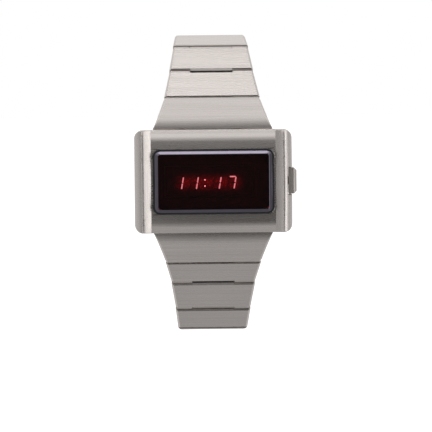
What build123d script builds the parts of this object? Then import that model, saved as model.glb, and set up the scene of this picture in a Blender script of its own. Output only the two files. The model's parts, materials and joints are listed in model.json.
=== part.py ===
import os
from math import atan2, cos, degrees, radians, sin, tan

from build123d import *

os.makedirs("parts", exist_ok=True)

# Digital wristwatch with a light-emitting display, on a tapering steel bracelet.
# The origin is the centre of the flat outer face of the case back. +Y points into the
# wrist, so the dial faces -Y, 12 o'clock is +Z and the push-button is at +X. Depths are
# distances from the back's outer face towards the dial, and lengths are in millimetres.

# Driving dimensions of the case
case_width = 41.0
case_height = 26.8
case_corner = 2.3
cushion_depth = 10.9
roll_run = 3.0
roll_depth = 9.95
shoulder_depth = 8.6
base_depth = 7.0
rail_width = 4.3
rail_inner_run = 1.8
rail_inner_rise = 0.73
rail_slope = 17.0
ridge_run = 0.95
ridge_drop = 0.11
rail_side_depth = 9.1
rail_end_radius = 1.4
rail_overlap = 0.4
rim_depth = 1.6
rear_slope_depth = 4.8
rear_slope = 1.9
side_slope = 1.9

# Crystal, its seat and the window behind it
seat_side_margin = 0.47
seat_end_margin = 4.945
seat_corner = 1.9
crystal_depth = 12.0
crystal_thickness = 2.45
crystal_bevel = 0.85
crystal_bevel_rise = 0.75
gasket_wall = 0.38
gasket_film = 0.15
gasket_land = 0.72
window_lip = 0.8

# Room inside the case
side_wall = 4.3
end_wall = 3.2
cavity_corner = 1.5
cavity_depth = 8.6
module_gap = 0.2

# Case back, its seal and screws
back_side_margin = 2.2
back_end_margin = 2.1
back_corner = 2.0
back_bevel = 0.4
seal_section = 0.4
seal_height = 0.5
seal_gap = 0.05
screw_inset = 0.95
screw_end_inset = 2.7
screw_radius = 0.45
screw_length = 3.6
screw_head_radius = 0.85
screw_head_height = 0.45
screw_slot = 0.25
screw_slot_depth = 0.2
thread_gap = 0.01

# Push-button on the right side, and what carries it
button_height = 6.8
button_span = 5.6
button_thickness = 2.1
button_reach = 1.2
button_depth = 6.0
button_chamfer = 0.7
button_travel = 0.5
notch_gap = 0.25
notch_floor = 1.6
notch_lip = 0.35
stem_radius = 0.8
stem_end_inset = 0.75
bush_radius = 1.3
bush_overhang = 0.25
running_gap = 0.05
ring_section = 0.15
ring_inset = 1.35
groove_gap = 0.03
clip_radius = 1.25
clip_thickness = 0.25
clip_groove_radius = 0.5
spring_wire = 0.1
spring_radius = 1.12
spring_turns = 3.5
spring_pocket = 0.8
spring_pocket_radius = 1.45
end_gap = 0.03

# Display
digit_rise = -0.4
digit_height = 3.2
digit_width = 1.75
digit_pitch_share = 0.1726
pair_spacing_share = 0.438
last_digit_share = 0.2522
colon_share = -0.0973
colon_spacing = 1.6
digit_slant = 10.0
stroke = 0.32
stroke_gap = 0.16
die_height = 0.15
mask_thickness = 0.3
mask_side_lip = 2.95
mask_figure_margin = 2.6
substrate_inset = 0.4
substrate_thickness = 0.6
substrate_depth = 8.0
display_offset = -1.2
board_thickness = 0.8

# Module: frame, cells and the parts on the board
frame_depth = 2.15
frame_wall = 0.8
cell_thickness = 4.2
cell_gap = 0.15
cell_apart = 0.4
strap_overhang = 3.5
contact_width = 3.4
contact_thickness = 0.2
bay_width = 5.7
bay_wall = 0.9
bay_side_wall = 1.0
switch_bay_height = 4.6
chip_width = 4.4
chip_length = 5.2
chip_thickness = 1.3
chip_bay_inset = 2.8
chip_end_inset = 4.1
driver_length = 7.0
driver_width = 3.0
driver_thickness = 0.7
driver_share = -0.1875
quartz_radius = 0.95
quartz_length = 6.0
quartz_bay_inset = 1.2
quartz_end_inset = 4.4
trimmer_radius = 1.5
trimmer_thickness = 1.4
trimmer_slot = 0.4
trimmer_bay_inset = 1.8
trimmer_end_inset = 3.2
leaf_thickness = 0.15
leaf_width = 1.8
leaf_foot = 2.6
leaf_height = 2.0
leaf_gap = 0.35

# Bracelet links
link_length = 8.5
link_outer = 1.3
link_inner = 0.9
link_bevel = 0.55
tight_edge_break = 0.1
open_edge_break = 0.25
rear_edge_break = 0.15
tongue_slope = 28.0
knuckle_radius = 0.85
knuckle_half = 5.5
knuckle_side_gap = 0.15
knuckle_room = 0.12
pin_radius = 0.45
pin_run = 0.05
pin_inset = 0.5
knuckle_inset = 0.35
tight_seam = 0.22
open_seam = 0.9
rear_seam = 0.8
lug_depth = 4.6
lug_setback = 1.05
lug_room = 2.1
lug_reach = 1.08
bar_tip_radius = 0.3
bar_tip_length = 1.3
web_overlap = 0.3
bracelet_half_width = 15.6
seam_width_shares = [1, 0.801, 0.708, 0.636, 0.597, 0.569, 0.549, 0.536, 0.529]
first_roll_start = 0.7
first_roll_reach = 4.8
first_roll_radius = 12.6
flare_along_share = 0.5
flare_width_share = 0.894
# The links' lengths, and their turns away from the dial's plane in degrees, from the case
# round the wrist
top_length_shares = [1.153, 1, 1, 1, 1, 1, 1, 1]
bottom_length_shares = [1.153, 0.8, 1.082, 1, 1, 1, 1, 1]
top_angles = [26, 39, 43, 72, 104, 134, 158, 174]
bottom_angles = [26, 37, 38, 50, 84, 118, 146, 170]

# Folding clasp
cover_half_width = 8.1
cover_wall = 0.7
cover_roof = 0.8
cover_roof_height = 1.0
cover_roof_start = 1.2
cover_wall_drop = 0.7
cover_edge_break = 0.3
blade_half_width = 5.4
blade_thickness = 0.7
outer_blade_height = 0.15
inner_blade_height = -0.7
fold_radius = 0.75
fold_pin_radius = 0.4
fold_height = 0.08
fold_start = 2.6
fold_half = 2.0
cover_hinge_height = 1.0
cover_hinge_setback = 2.3
open_pivot_room = 1.3

overrun = 1.0


def save(piece, name):
    """Label a finished piece and write it under its own name."""
    piece.part.label = name
    export_step(piece.part, f"parts/{name}.step")


# Case body: a cushion curved about X between two upright rails
half_width = case_width / 2
half_height = case_height / 2
rear_half_height = half_height - rear_slope
crease_x = half_width - rail_width
roll_z = half_height - roll_run
crown_sag = cushion_depth - roll_depth
crown_radius = (roll_z**2 + crown_sag**2) / (2 * crown_sag)
crown_y = crown_radius - cushion_depth
slope_x = crease_x + rail_inner_run
slope_depth = cushion_depth + rail_inner_rise
ridge_x = slope_x + ridge_run
ridge_depth = slope_depth - ridge_drop
notch_x = half_width - notch_floor
button_inner_x = half_width + button_reach - button_thickness
seat_width = case_width - 2 * (rail_width + seat_side_margin)
seat_height = case_height - 2 * seat_end_margin
crystal_inset = gasket_wall + 2 * thread_gap
crystal_width = seat_width - 2 * crystal_inset
crystal_height = seat_height - 2 * crystal_inset
crystal_corner = seat_corner - crystal_inset
window_width = crystal_width - 2 * window_lip
window_height = crystal_height - 2 * window_lip
cavity_width = case_width - 2 * side_wall
cavity_height = case_height - 2 * end_wall
cavity_half_width = cavity_width / 2
back_width = case_width - 2 * back_side_margin
back_height = case_height - 2 * back_end_margin
screw_rise = back_height / 2 - screw_end_inset
lug_height = half_height - lug_setback
lug_floor = half_height - lug_room
ledge_depth = crystal_depth - crystal_thickness - gasket_film
screw_places = [
    (across * (back_width / 2 - screw_inset), rise * screw_rise)
    for across in (-1, 1)
    for rise in (-1, 1)
]
bar_half_length = knuckle_half + knuckle_side_gap + bar_tip_length
lug_points = [(-lug_depth, side * lug_height) for side in (1, -1)]

with BuildPart() as case_body:
    with BuildSketch(Plane.YZ):
        Polygon(
            (-base_depth, half_height),
            (-base_depth, -half_height),
            (-rear_slope_depth, -half_height),
            (-rim_depth, -rear_half_height),
            (-rim_depth, rear_half_height),
            (-rear_slope_depth, half_height),
            align=None,
        )
    extrude(amount=half_width, both=True)
    chamfer(case_body.edges().filter_by(Axis.Z).group_by(Axis.Y)[-1], length=side_slope)
    # Cushion: a long crown that rolls over at both ends
    with BuildSketch(Plane.YZ):
        with BuildLine():
            crown = ThreePointArc((-roll_depth, roll_z), (-cushion_depth, 0), (-roll_depth, -roll_z))
            upper_end = (-shoulder_depth, half_height)
            lower_end = (-shoulder_depth, -half_height)
            TangentArc(crown @ 0, upper_end, tangent=(crown % 0) * -1)
            TangentArc(crown @ 1, lower_end, tangent=crown % 1)
            Polyline(
                upper_end,
                (-rear_slope_depth, half_height),
                (-rear_slope_depth, -half_height),
                lower_end,
            )
        make_face()
    extrude(amount=crease_x + rail_overlap, both=True)
    # Rails: a sloping inner face, a ridge and a rounded side, bent along the crown
    with BuildSketch(Plane.XY):
        with BuildLine():
            slope_end = (slope_x, -slope_depth)
            slope_turn = radians(rail_slope)
            TangentArc(slope_end, (crease_x, -cushion_depth), tangent=(-cos(slope_turn), sin(slope_turn)))
            ridge = TangentArc(
                slope_end,
                (ridge_x, -ridge_depth),
                tangent=(cos(slope_turn), -sin(slope_turn)),
            )
            TangentArc(ridge @ 1, (half_width, -rail_side_depth), tangent=ridge % 1)
            Polyline(
                (half_width, -rail_side_depth),
                (half_width, -base_depth),
                (crease_x, -base_depth),
                (crease_x, -cushion_depth),
            )
        make_face()
        mirror(about=Plane.YZ)
    revolve(axis=Axis((0, crown_y, 0), (1, 0, 0)))
    with BuildSketch(Plane.YZ) as side_view:
        with Locations((crown_y, 0)):
            Circle(crown_y + crystal_depth)
        Rectangle(2 * case_width, case_height, mode=Mode.INTERSECT)
        fillet(side_view.vertices().sort_by(Axis.X)[:2], radius=rail_end_radius)
    extrude(amount=half_width, both=True, mode=Mode.INTERSECT)
    with BuildSketch(Plane.XZ):
        RectangleRounded(case_width, case_height, case_corner)
    extrude(amount=crystal_depth, mode=Mode.INTERSECT)
    # Crystal seat, window and the room for the module
    with BuildSketch(Plane.XZ.offset(ledge_depth)):
        RectangleRounded(seat_width, seat_height, seat_corner)
    extrude(amount=crystal_depth, mode=Mode.SUBTRACT)
    with BuildSketch(Plane.XZ):
        RectangleRounded(window_width, window_height, crystal_corner)
    extrude(amount=crystal_depth, mode=Mode.SUBTRACT)
    with BuildSketch(Plane.XZ):
        RectangleRounded(cavity_width, cavity_height, cavity_corner)
    extrude(amount=cavity_depth, mode=Mode.SUBTRACT)
    # Rebate for the seal, and tapped holes for the back's screws
    with BuildSketch(Plane.XZ):
        RectangleRounded(
            cavity_width + 2 * seal_section,
            cavity_height + 2 * seal_section,
            cavity_corner + seal_section,
        )
    extrude(amount=rim_depth + seal_height + seal_gap, mode=Mode.SUBTRACT)
    with BuildSketch(Plane.XZ):
        with Locations(*screw_places):
            Circle(screw_radius + thread_gap)
    extrude(amount=screw_length + thread_gap, mode=Mode.SUBTRACT)
    # Notch and bore of the push-button
    with BuildSketch(Plane.YZ.offset(notch_x)):
        with Locations((-button_depth, 0)):
            Rectangle(cavity_depth, button_height + 2 * notch_gap)
    extrude(amount=notch_floor + overrun, mode=Mode.SUBTRACT)
    with BuildSketch(Plane.YZ.offset(notch_x + notch_lip)):
        with Locations((-button_depth, 0)):
            Rectangle(
                crystal_depth,
                button_height + 2 * notch_gap,
                align=(Align.MAX, Align.CENTER),
            )
    extrude(amount=notch_floor + overrun, mode=Mode.SUBTRACT)
    with BuildSketch(Plane.YZ.offset(cavity_half_width - overrun)):
        with Locations((-button_depth, 0)):
            Circle(bush_radius)
    extrude(amount=case_width, mode=Mode.SUBTRACT)
    # Recesses for the first links' lugs, open to the back, and the holes of their bars
    for side in (1, -1):
        with BuildSketch(Plane.XY.offset(side * lug_floor)):
            with Locations((0, -lug_depth - knuckle_radius - knuckle_room)):
                Rectangle(
                    2 * (knuckle_half + knuckle_side_gap),
                    case_height,
                    align=(Align.CENTER, Align.MIN),
                )
        extrude(amount=side * case_height, mode=Mode.SUBTRACT)
    with BuildSketch(Plane.YZ):
        with Locations(*lug_points):
            Circle(bar_tip_radius + thread_gap)
    extrude(amount=bar_half_length + end_gap, both=True, mode=Mode.SUBTRACT)
save(case_body, "case_body")

with BuildPart() as crystal:
    with BuildSketch(Plane.XZ.offset(crystal_depth - crystal_thickness)):
        RectangleRounded(crystal_width, crystal_height, crystal_corner)
    extrude(amount=crystal_thickness)
    chamfer(
        crystal.faces().sort_by(Axis.Y)[0].edges(),
        length=crystal_bevel,
        length2=crystal_bevel_rise,
        reference=crystal.faces().sort_by(Axis.Y)[0],
    )
save(crystal, "crystal")

# Gasket: a film under the crystal, and a wall round it that shows as a black line
with BuildPart() as crystal_gasket:
    with BuildSketch(Plane.XZ.offset(ledge_depth)):
        RectangleRounded(seat_width - 2 * thread_gap, seat_height - 2 * thread_gap, seat_corner)
    extrude(amount=crystal_depth - crystal_bevel_rise - ledge_depth)
    with BuildSketch(Plane.XZ.offset(ledge_depth)):
        Rectangle(crystal_width - 2 * gasket_land, crystal_height - 2 * gasket_land)
    extrude(amount=crystal_thickness, mode=Mode.SUBTRACT)
    with BuildSketch(Plane.XZ.offset(ledge_depth + gasket_film)):
        RectangleRounded(
            crystal_width + 2 * thread_gap,
            crystal_height + 2 * thread_gap,
            crystal_corner + thread_gap,
        )
    extrude(amount=crystal_thickness, mode=Mode.SUBTRACT)
save(crystal_gasket, "crystal_gasket")

# Case back with its countersunk screws and the seal that it presses
with BuildPart() as case_back:
    with BuildSketch(Plane.XZ):
        RectangleRounded(back_width, back_height, back_corner)
    extrude(amount=rim_depth)
    chamfer(case_back.faces().sort_by(Axis.Y)[-1].edges(), length=back_bevel)
    with BuildSketch(Plane.XZ):
        with Locations(*screw_places):
            Circle(screw_radius + thread_gap)
    extrude(amount=rim_depth, mode=Mode.SUBTRACT)
    with BuildSketch(Plane.XZ):
        with Locations(*screw_places):
            Circle(screw_head_radius + thread_gap)
    extrude(amount=screw_head_height, mode=Mode.SUBTRACT)
save(case_back, "case_back")

with BuildPart() as back_screws:
    with BuildSketch(Plane.XZ):
        with Locations(*screw_places):
            Circle(screw_head_radius)
    extrude(amount=screw_head_height)
    with BuildSketch(Plane.XZ):
        with Locations(*screw_places):
            Circle(screw_radius)
    extrude(amount=screw_length)
    with BuildSketch(Plane.XZ):
        with Locations(*screw_places):
            Rectangle(2 * screw_head_radius, screw_slot)
    extrude(amount=screw_slot_depth, mode=Mode.SUBTRACT)
save(back_screws, "back_screws")

with BuildPart() as back_seal:
    with BuildSketch(Plane.XZ.offset(rim_depth + seal_gap / 2)):
        RectangleRounded(
            cavity_width + 2 * seal_section - seal_gap,
            cavity_height + 2 * seal_section - seal_gap,
            cavity_corner + seal_section,
        )
        RectangleRounded(
            cavity_width + seal_gap,
            cavity_height + seal_gap,
            cavity_corner,
            mode=Mode.SUBTRACT,
        )
    extrude(amount=seal_height)
save(back_seal, "back_seal")

# Push-button: cap and stem in one, in a bush pressed through the case wall
stem_end_x = cavity_half_width - stem_end_inset
bush_inner_x = cavity_half_width - bush_overhang
clip_outer_x = bush_inner_x - running_gap
ring_x = notch_x - ring_inset
stem_plane = Plane(origin=(0, -button_depth, 0), x_dir=(0, 1, 0), z_dir=(1, 0, 0))

with BuildPart() as push_button:
    with BuildSketch(stem_plane.offset(button_inner_x)):
        Rectangle(button_span, button_height)
    extrude(amount=button_thickness)
    chamfer(push_button.faces().sort_by(Axis.X)[-1].edges(), length=button_chamfer)
    with BuildSketch(stem_plane.offset(button_inner_x)):
        Circle(spring_pocket_radius)
    extrude(amount=spring_pocket, mode=Mode.SUBTRACT)
    with BuildSketch(stem_plane.offset(stem_end_x)):
        Circle(stem_radius)
    extrude(amount=button_inner_x + spring_pocket - stem_end_x)
    with BuildSketch(stem_plane.offset(ring_x - ring_section - groove_gap)):
        Circle(stem_radius + overrun)
        Circle(stem_radius - 2 * ring_section, mode=Mode.SUBTRACT)
    extrude(amount=2 * (ring_section + groove_gap), mode=Mode.SUBTRACT)
    with BuildSketch(stem_plane.offset(clip_outer_x - clip_thickness - groove_gap)):
        Circle(stem_radius + overrun)
        Circle(clip_groove_radius, mode=Mode.SUBTRACT)
    extrude(amount=clip_thickness + 2 * groove_gap, mode=Mode.SUBTRACT)
save(push_button, "push_button")

with BuildPart() as button_bush:
    with BuildSketch(stem_plane.offset(bush_inner_x)):
        Circle(bush_radius - thread_gap)
        Circle(stem_radius + running_gap, mode=Mode.SUBTRACT)
    extrude(amount=notch_x - bush_inner_x)
save(button_bush, "button_bush")

with BuildPart() as button_o_ring:
    with BuildSketch(Plane.XY):
        with Locations((ring_x, -button_depth + stem_radius + groove_gap - ring_section)):
            Circle(ring_section)
    revolve(axis=Axis((0, -button_depth, 0), (1, 0, 0)))
save(button_o_ring, "button_o_ring")

with BuildPart() as button_clip:
    with BuildSketch(stem_plane.offset(clip_outer_x - clip_thickness)):
        Circle(clip_radius)
        Circle(clip_groove_radius + groove_gap, mode=Mode.SUBTRACT)
        with Locations((-clip_radius, 0)):
            Rectangle(2 * clip_radius, 2 * clip_groove_radius, mode=Mode.SUBTRACT)
    extrude(amount=clip_thickness)
save(button_clip, "button_clip")

spring_start_x = notch_x + end_gap + spring_wire
spring_run = button_inner_x + spring_pocket - end_gap - spring_wire - spring_start_x
with BuildPart() as button_spring:
    with BuildLine() as coil:
        Helix(
            pitch=spring_run / spring_turns,
            height=spring_run,
            radius=spring_radius,
            center=(spring_start_x, -button_depth, 0),
            direction=stem_plane.z_dir,
        )
    with BuildSketch(Plane(origin=coil.line @ 0, z_dir=coil.line % 0)):
        Circle(spring_wire)
    sweep(path=coil.line, is_frenet=True)
save(button_spring, "button_spring")

# Display: mask, ceramic carrier, and the strokes of the four figures
mask_window_width = window_width - 2 * mask_side_lip
mask_window_height = digit_height + 2 * mask_figure_margin
substrate_width = mask_window_width - 2 * substrate_inset
substrate_height = mask_window_height - 2 * substrate_inset
digit_right_shares = [
    last_digit_share - pair_spacing_share - digit_pitch_share,
    last_digit_share - pair_spacing_share,
    last_digit_share - digit_pitch_share,
    last_digit_share,
]
digit_rights = [share * substrate_width for share in digit_right_shares]
stroke_ends = {
    "top": ((-1, 1), (0, 1)),
    "upper_right": ((0, 1), (0, 0)),
    "lower_right": ((0, 0), (0, -1)),
    "bottom": ((-1, -1), (0, -1)),
    "lower_left": ((-1, 0), (-1, -1)),
    "upper_left": ((-1, 1), (-1, 0)),
    "middle": ((-1, 0), (0, 0)),
}
lit_one = ("upper_right", "lower_right")
lit_seven = ("top", "upper_right", "lower_right")
lit_digits = (lit_one, lit_one, lit_one, lit_seven)


def draw_stroke(right, name):
    """One slanted stroke of a figure whose right-hand strokes stand at x = right."""
    ends = []
    for across, rise in stroke_ends[name]:
        z = rise * digit_height / 2
        ends.append((right + across * digit_width + z * tan(radians(digit_slant)), z))
    (x0, z0), (x1, z1) = ends
    run = Vector(x1 - x0, z1 - z0)
    with Locations(((x0 + x1) / 2, digit_rise + (z0 + z1) / 2)):
        SlotCenterToCenter(
            run.length - stroke - stroke_gap,
            stroke,
            rotation=degrees(atan2(run.Y, run.X)),
        )


with BuildPart() as lit_strokes:
    with BuildSketch(Plane.XZ.offset(substrate_depth)):
        for right, lit in zip(digit_rights, lit_digits):
            for name in lit:
                draw_stroke(right, name)
        with Locations((colon_share * substrate_width, digit_rise)):
            with GridLocations(0, colon_spacing, 1, 2):
                Circle(stroke / 2)
    extrude(amount=die_height)
save(lit_strokes, "lit_strokes")

with BuildPart() as dark_strokes:
    with BuildSketch(Plane.XZ.offset(substrate_depth)):
        for right, lit in zip(digit_rights, lit_digits):
            for name in stroke_ends:
                if name not in lit:
                    draw_stroke(right, name)
    extrude(amount=die_height)
save(dark_strokes, "dark_strokes")

with BuildPart() as display_carrier:
    with BuildSketch(Plane.XZ.offset(substrate_depth - substrate_thickness)):
        with Locations((display_offset, 0)):
            Rectangle(substrate_width, substrate_height)
    extrude(amount=substrate_thickness)
save(display_carrier, "display_carrier")

with BuildPart() as display_mask:
    with BuildSketch(Plane.XZ.offset(cavity_depth - mask_thickness)):
        RectangleRounded(cavity_width - 2 * module_gap, cavity_height - 2 * module_gap, cavity_corner)
        with Locations((display_offset, 0)):
            Rectangle(mask_window_width, mask_window_height, mode=Mode.SUBTRACT)
    extrude(amount=mask_thickness)
save(display_mask, "display_mask")

# Module: board with its parts, frame, cells and contacts
board_depth = substrate_depth - substrate_thickness
board_rear_depth = board_depth - board_thickness
switch_bay_x = stem_end_x - button_travel - leaf_gap - leaf_thickness
module_width = cavity_width - 2 * module_gap
module_height = cavity_height - 2 * module_gap
bay_end = module_width / 2 - bay_side_wall
bay_start = bay_end - bay_width
first_cell_start = frame_wall - module_width / 2
cell_radius = (bay_start - bay_wall - cell_apart - first_cell_start) / 4
cell_spacing = 2 * cell_radius + cell_apart
first_cell_x = first_cell_start + cell_radius
chip_place = (bay_end - chip_bay_inset, module_height / 2 - chip_end_inset)
driver_place = (driver_share * module_width, (substrate_height + module_height) / 4)
quartz_x = bay_start + quartz_bay_inset
quartz_z = quartz_end_inset - module_height / 2
trimmer_place = (bay_end - trimmer_bay_inset, trimmer_end_inset - module_height / 2)

with BuildPart() as circuit_board:
    with BuildSketch(Plane.XZ.offset(board_rear_depth)):
        RectangleRounded(module_width, module_height, cavity_corner)
        with Locations((module_width / 2, 0)):
            Rectangle(
                2 * (module_width / 2 - switch_bay_x),
                switch_bay_height,
                mode=Mode.SUBTRACT,
            )
    extrude(amount=board_thickness)
save(circuit_board, "circuit_board")

with BuildPart() as module_frame:
    with BuildSketch(Plane.XZ.offset(frame_depth)):
        RectangleRounded(module_width, module_height, cavity_corner)
        with Locations((first_cell_x, 0), (first_cell_x + cell_spacing, 0)):
            Circle(cell_radius + cell_gap, mode=Mode.SUBTRACT)
        with Locations((bay_start, 0)):
            Rectangle(
                bay_width,
                module_height - 2 * bay_wall,
                align=(Align.MIN, Align.CENTER),
                mode=Mode.SUBTRACT,
            )
            Rectangle(
                module_width / 2,
                switch_bay_height,
                align=(Align.MIN, Align.CENTER),
                mode=Mode.SUBTRACT,
            )
    extrude(amount=board_rear_depth - frame_depth)
save(module_frame, "module_frame")

with BuildPart() as battery_cells:
    with BuildSketch(Plane.XZ.offset(frame_depth)):
        with Locations((first_cell_x, 0), (first_cell_x + cell_spacing, 0)):
            Circle(cell_radius)
    extrude(amount=cell_thickness)
save(battery_cells, "battery_cells")

with BuildPart() as battery_strap:
    with BuildSketch(Plane.XZ.offset(frame_depth - contact_thickness)):
        with Locations((first_cell_x + cell_spacing / 2, 0)):
            SlotOverall(cell_spacing + 2 * strap_overhang, contact_width)
    extrude(amount=contact_thickness)
save(battery_strap, "battery_strap")

with BuildPart() as timing_chip:
    with BuildSketch(Plane.XZ.offset(board_rear_depth - chip_thickness)):
        with Locations(chip_place):
            Rectangle(chip_width, chip_length)
    extrude(amount=chip_thickness)
save(timing_chip, "timing_chip")

with BuildPart() as driver_chip:
    with BuildSketch(Plane.XZ.offset(board_depth)):
        with Locations(driver_place):
            Rectangle(driver_length, driver_width)
    extrude(amount=driver_thickness)
save(driver_chip, "driver_chip")

with BuildPart() as quartz_can:
    with BuildSketch(Plane.XY.offset(quartz_z - quartz_length / 2)):
        with Locations((quartz_x, -board_rear_depth + quartz_radius)):
            Circle(quartz_radius)
    extrude(amount=quartz_length)
    chamfer(quartz_can.faces().sort_by(Axis.Z)[-1].edges(), length=quartz_radius / 2)
save(quartz_can, "quartz_can")

with BuildPart() as trimmer:
    with BuildSketch(Plane.XZ.offset(board_rear_depth - trimmer_thickness)):
        with Locations(trimmer_place):
            Circle(trimmer_radius)
    extrude(amount=trimmer_thickness)
    with BuildSketch(Plane.XZ.offset(board_rear_depth - trimmer_thickness)):
        with Locations(trimmer_place):
            Rectangle(2 * trimmer_radius, trimmer_slot)
    extrude(amount=trimmer_slot, mode=Mode.SUBTRACT)
save(trimmer, "trimmer")

with BuildPart() as switch_contact:
    with BuildSketch(Plane.XY.offset(-leaf_width / 2)):
        with BuildLine():
            leaf_x = switch_bay_x
            foot_y = -board_rear_depth
            Polyline(
                (leaf_x + leaf_thickness, foot_y),
                (leaf_x + leaf_thickness, foot_y + leaf_height),
                (leaf_x, foot_y + leaf_height),
                (leaf_x, foot_y + leaf_thickness),
                (leaf_x - leaf_foot, foot_y + leaf_thickness),
                (leaf_x - leaf_foot, foot_y),
                close=True,
            )
        make_face()
    extrude(amount=leaf_width)
save(switch_contact, "switch_contact")


# Bracelet. A link's plane has its origin on the pin nearer the case, local Y along the
# bracelet and local Z out of the wrist. Centre knuckles and side knuckles alternate.
def lay_out(side, angles, lengths):
    """Planes of one side's links, and the point where the last link ends."""
    point = Vector(0, -lug_depth, side * lug_height)
    planes = []
    for angle, length in zip(angles, lengths):
        turn = radians(angle)
        outward = Vector(0, -cos(turn), side * sin(turn))
        planes.append(Plane(origin=point, x_dir=(side, 0, 0), z_dir=outward))
        point = point + Vector(0, sin(turn), side * cos(turn)) * length
    return planes, point


def pin_plane(plane, along=0, height=0):
    """Plane across the bracelet, centred on a pin: local X along it, local Y outward."""
    origin = plane.from_local_coords((0, along, height))
    return Plane(origin=origin, x_dir=plane.y_dir, z_dir=plane.x_dir)


def spans_of(centre, half):
    """Stretches of a pin that a centre knuckle or a pair of side knuckles takes."""
    if centre:
        return [(-knuckle_half, knuckle_half)]
    inner = knuckle_half + knuckle_side_gap
    return [(inner, half), (-half, -inner)]


def round_cut(pin, radius, spans):
    """Clear round room about a pin over each span."""
    for low, high in spans:
        with BuildSketch(pin.offset(low)) as disc:
            Circle(radius)
        extrude(disc.sketch, amount=high - low, mode=Mode.SUBTRACT)


def add_knuckles(pin, radius, reach, spans):
    """Knuckles about a pin, each joined to its plate by a web as thick as itself."""
    for low, high in spans:
        with BuildSketch(pin.offset(low)) as section:
            Circle(radius)
            with Locations((reach / 2, 0)):
                Rectangle(abs(reach), 2 * radius)
        extrude(section.sketch, amount=high - low)


def bore(pin, radius, half):
    """Hole for a pin, right through."""
    with BuildSketch(pin) as disc:
        Circle(radius)
    extrude(disc.sketch, amount=half, both=True, mode=Mode.SUBTRACT)


def finish_end(pin, reach, centre, half, bore_radius):
    """Give one end of a link its knuckles, its room for the neighbour's, and its bore."""
    room = knuckle_radius + knuckle_room
    far = half + overrun
    if centre:
        round_cut(pin, room, [(knuckle_half, far), (-far, -knuckle_half)])
    else:
        clear = knuckle_half + knuckle_side_gap
        round_cut(pin, room, [(-clear, clear)])
    add_knuckles(pin, knuckle_radius, reach, spans_of(centre, half - knuckle_inset))
    bore(pin, bore_radius, far)


def plate_outline(start, stop, inner_half, outer_half, middle_half):
    """Outline of a link's plate, with straight or hollow sides."""
    near = [(-inner_half, start), (inner_half, start)]
    far_points = [(outer_half, stop), (-outer_half, stop)]
    with BuildLine() as rim:
        Line(near[0], near[1])
        Line(far_points[0], far_points[1])
        if middle_half is None:
            Line(near[1], far_points[0])
            Line(far_points[1], near[0])
        else:
            middle = start + (stop - start) * flare_along_share
            ThreePointArc(near[1], (middle_half, middle), far_points[0])
            ThreePointArc(far_points[1], (-middle_half, middle), near[0])
    make_face(rim.edges())


def roll_over(pin, start, half):
    """Round the outer face of a first link down towards the case."""
    drop = first_roll_radius - (first_roll_radius**2 - (first_roll_reach - start) ** 2) ** 0.5
    with BuildSketch(pin) as waste:
        with BuildLine() as rim:
            low = (start, link_outer - drop)
            high = (first_roll_reach, link_outer)
            TangentArc(high, low, tangent=(-1, 0))
            Polyline(low, (start, link_outer + overrun), (first_roll_reach, link_outer + overrun), high)
        make_face(rim.edges())
    extrude(waste.sketch, amount=half, both=True, mode=Mode.SUBTRACT)


def slope_tongue(pin, side):
    """Centre part of a plate's end, carried on as a slope that runs down onto its knuckle."""
    turn = radians(tongue_slope)
    low_height = knuckle_radius * cos(turn)
    low_run = knuckle_radius * sin(turn)
    high_run = (link_outer - low_height) / tan(turn) - low_run
    low = (-side * low_run, low_height)
    high = (side * high_run, link_outer)
    waste = [low, high, (side * high_run, link_outer + overrun), (-side * low_run, link_outer + overrun)]
    wedge = [low, high, (side * high_run, 0), (0, 0)]
    for corners, mode in ((waste, Mode.SUBTRACT), (wedge, Mode.ADD)):
        with BuildSketch(pin.offset(-knuckle_half)) as section:
            with BuildLine() as rim:
                Polyline(*corners, close=True)
            make_face(rim.edges())
        extrude(section.sketch, amount=2 * knuckle_half, mode=mode)


def make_link(plane, length, halves, centres, seams, middle_half=None, reach=None, bar_end=False):
    """One link: a bevelled plate with knuckles at both ends, for pins or a spring bar."""
    inner_half, outer_half = halves
    inner_centre, outer_centre = centres
    start = seams[0] / 2 if reach is None else reach
    stop = length - seams[1] / 2
    edge_breaks = [seam_breaks[seam] for seam in seams]
    with BuildPart() as link:
        with BuildSketch(plane.offset(-link_inner)):
            plate_outline(start, stop, inner_half, outer_half, middle_half)
        extrude(amount=link_inner + link_outer)
        outward = Axis(plane.origin, plane.z_dir)
        face_edges = link.faces().sort_by(outward)[-1].edges()
        chamfer(face_edges.filter_by(Axis.X, reverse=True), length=link_bevel)
        along = Axis(plane.origin, plane.y_dir)
        for end, edge_break in zip((0, -1), edge_breaks):
            face_edges = link.faces().sort_by(outward)[-1].edges()
            chamfer(face_edges.filter_by(Axis.X).sort_by(along)[end], length=edge_break)
        near_pin = pin_plane(plane)
        far_pin = pin_plane(plane, along=length)
        if inner_centre and seams[0] == open_seam:
            slope_tongue(near_pin, 1)
        if outer_centre and seams[1] == open_seam:
            slope_tongue(far_pin, -1)
        near_bore = pin_radius + (pin_run if inner_centre else thread_gap)
        far_bore = pin_radius + (pin_run if outer_centre else thread_gap)
        if bar_end:
            far_bore = bar_tip_radius + thread_gap
        finish_end(near_pin, start + web_overlap, inner_centre, inner_half, near_bore)
        if reach is not None:
            roll_over(near_pin, first_roll_start, inner_half + overrun)
        finish_end(far_pin, stop - length - web_overlap, outer_centre, outer_half, far_bore)
    return link


link_count = len(top_angles)
top_lengths = [link_length * share for share in top_length_shares]
bottom_lengths = [link_length * share for share in bottom_length_shares]
top_planes, top_end = lay_out(1, top_angles, top_lengths)
bottom_planes, bottom_end = lay_out(-1, bottom_angles, bottom_lengths)
seams = [tight_seam, tight_seam, open_seam, open_seam] + [rear_seam] * (link_count - 3)
seam_breaks = {tight_seam: tight_edge_break, open_seam: open_edge_break, rear_seam: rear_edge_break}


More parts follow.
